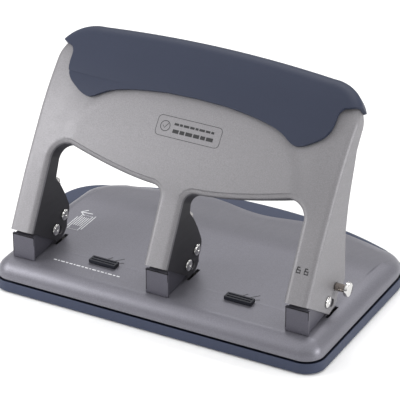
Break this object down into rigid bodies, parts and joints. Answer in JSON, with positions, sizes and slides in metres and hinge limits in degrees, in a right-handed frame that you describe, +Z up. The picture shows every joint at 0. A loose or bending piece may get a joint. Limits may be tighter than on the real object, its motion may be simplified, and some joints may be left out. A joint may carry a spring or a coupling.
{
  "type": "hole punch",
  "caption": "Desk hole punch: a tilting handle drives a row of spring-return punches through paper on a base plate over a lift-off chip tray, with a push-in lock pin.",
  "frame": {"origin": "on the table under the middle of the overall width and depth, at the underside of the feet", "axes": "+X along the row of heads towards the lock pin, +Y from the front of the heads towards the side where paper goes in, +Z up"},
  "size_m": [0.277, 0.1898, 0.175],
  "materials": {
    "tray_plastic": "fine satin, moulded, blue grey",
    "silver_paint": "satin metallic silver paint",
    "bracket_paint": "satin dark grey paint",
    "latch_plastic": "matt near-black, moulded",
    "soft_grip": "matt soft-touch, blue grey",
    "plain_steel": "plain machined steel",
    "bright_steel": "bright nickel plate",
    "foot_rubber": "matt black"
  },
  "bodies": {
    "tray": {"chip_tray": "tray_plastic", "foot_near_left": "foot_rubber", "foot_near_right": "foot_rubber", "foot_far_left": "foot_rubber", "foot_far_right": "foot_rubber"},
    "base": {"base_plate": "silver_paint", "die_rail": "plain_steel", "left_die_bush": "plain_steel", "left_head_bracket": "bracket_paint", "left_head_screw": "plain_steel", "left_fulcrum_pin": "bright_steel", "left_return_spring": "bright_steel", "middle_die_bush": "plain_steel", "middle_head_bracket": "bracket_paint", "middle_head_screw": "plain_steel", "middle_fulcrum_pin": "bright_steel", "middle_return_spring": "bright_steel", "right_die_bush": "plain_steel", "right_head_bracket": "bracket_paint", "right_head_screw": "plain_steel", "right_fulcrum_pin": "bright_steel", "right_return_spring": "bright_steel"},
    "handle": {"handle_shell": "silver_paint", "handle_grip": "soft_grip", "left_drive_pin": "bright_steel", "middle_drive_pin": "bright_steel"},
    "lock": {"lock_pin": "bright_steel"},
    "left_plunger": {"left_punch": "plain_steel", "left_spring_cap": "plain_steel"},
    "middle_plunger": {"middle_punch": "plain_steel", "middle_spring_cap": "plain_steel"},
    "right_plunger": {"right_punch": "plain_steel", "right_spring_cap": "plain_steel"},
    "left_latch": {"left_tray_latch": "latch_plastic"},
    "right_latch": {"right_tray_latch": "latch_plastic"}
  },
  "joints": [
    {"name": "tray_release", "type": "slide", "parent": "tray", "child": "base", "axis": [0, 0, 1], "range_m": [0, 0.03]},
    {"name": "handle_press", "type": "hinge", "parent": "base", "child": "handle", "pos_m": [0.0085, -0.05185, 0.0346], "axis": [-1, 0, 0], "range_deg": [0, 34], "stiffness_Nm_per_rad": 1.5, "springref_deg": -22.92},
    {"name": "lock_push", "type": "slide", "parent": "handle", "child": "lock", "axis": [-1, 0, 0], "range_m": [0, 0.0039]},
    {"name": "left_stroke", "type": "slide", "parent": "base", "child": "left_plunger", "axis": [0, 0, -1], "range_m": [0, 0.008], "deforming": ["left_return_spring"]},
    {"name": "middle_stroke", "type": "slide", "parent": "base", "child": "middle_plunger", "axis": [0, 0, -1], "range_m": [0, 0.008], "deforming": ["middle_return_spring"]},
    {"name": "right_stroke", "type": "slide", "parent": "base", "child": "right_plunger", "axis": [0, 0, -1], "range_m": [0, 0.008], "deforming": ["right_return_spring"]},
    {"name": "left_latch_slide", "type": "slide", "parent": "base", "child": "left_latch", "axis": [0, -1, 0], "range_m": [0, 0.004], "stiffness_N_per_m": 150, "springref_m": -0.002},
    {"name": "right_latch_slide", "type": "slide", "parent": "base", "child": "right_latch", "axis": [0, -1, 0], "range_m": [0, 0.004], "stiffness_N_per_m": 150, "springref_m": -0.002}
  ],
  "couplings": [
    {"joint": "left_stroke", "follows": "handle_press", "m_per_rad": 0.0133},
    {"joint": "middle_stroke", "follows": "handle_press", "m_per_rad": 0.0133},
    {"joint": "right_stroke", "follows": "handle_press", "m_per_rad": 0.0133}
  ]
}
